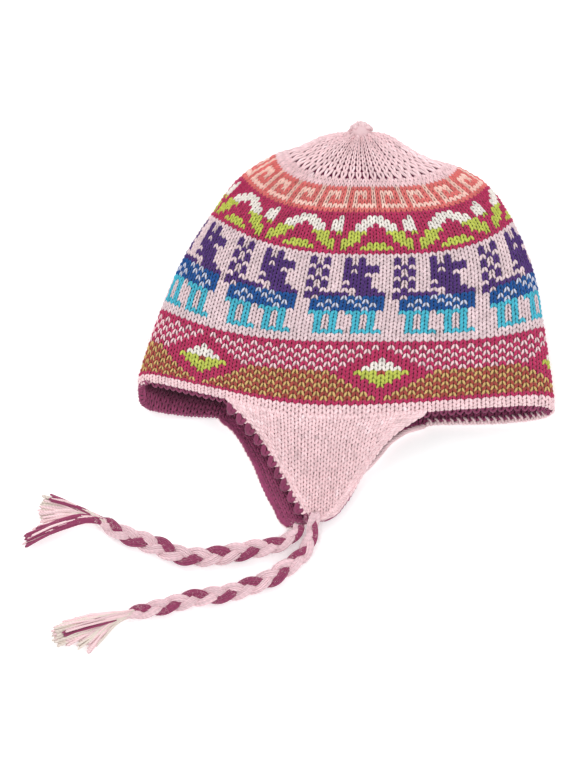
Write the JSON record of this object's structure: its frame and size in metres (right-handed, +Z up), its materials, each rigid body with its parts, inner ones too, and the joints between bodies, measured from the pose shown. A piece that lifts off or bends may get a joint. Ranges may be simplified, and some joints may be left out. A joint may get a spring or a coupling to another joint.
{
  "type": "chullo hat",
  "caption": "Knitted chullo hat with a gathered crown, a knitted lining, ear flaps and a braid with a tassel at the tip of each flap, lying flat on its side.",
  "frame": {"origin": "on the surface the hat lies on, below the middle of the box of the hat without its braids and tassels", "axes": "+X from the hat's left end to its right end as the rim is seen, +Y from the ear flaps to the crown knot, +Z up from the surface it lies on"},
  "size_m": [0.3198, 0.3267, 0.0444],
  "materials": {
    "patterned_knit": "soft wool knit in several colours",
    "pink_knit": "soft wool knit",
    "burgundy_knit": "soft wool knit",
    "pink_yarn": "fluffy twisted wool yarn"
  },
  "bodies": {
    "root": {"hat_shell": "patterned_knit", "lining_shell": "burgundy_knit", "top_knot": "pink_yarn", "flap_near": "pink_knit", "flap_near_lining": "burgundy_knit", "flap_far": "pink_knit", "flap_far_lining": "burgundy_knit", "braid_near": "pink_yarn", "braid_far": "pink_yarn", "tassel_near": "pink_yarn", "tassel_far": "pink_yarn"}
  },
  "joints": []
}
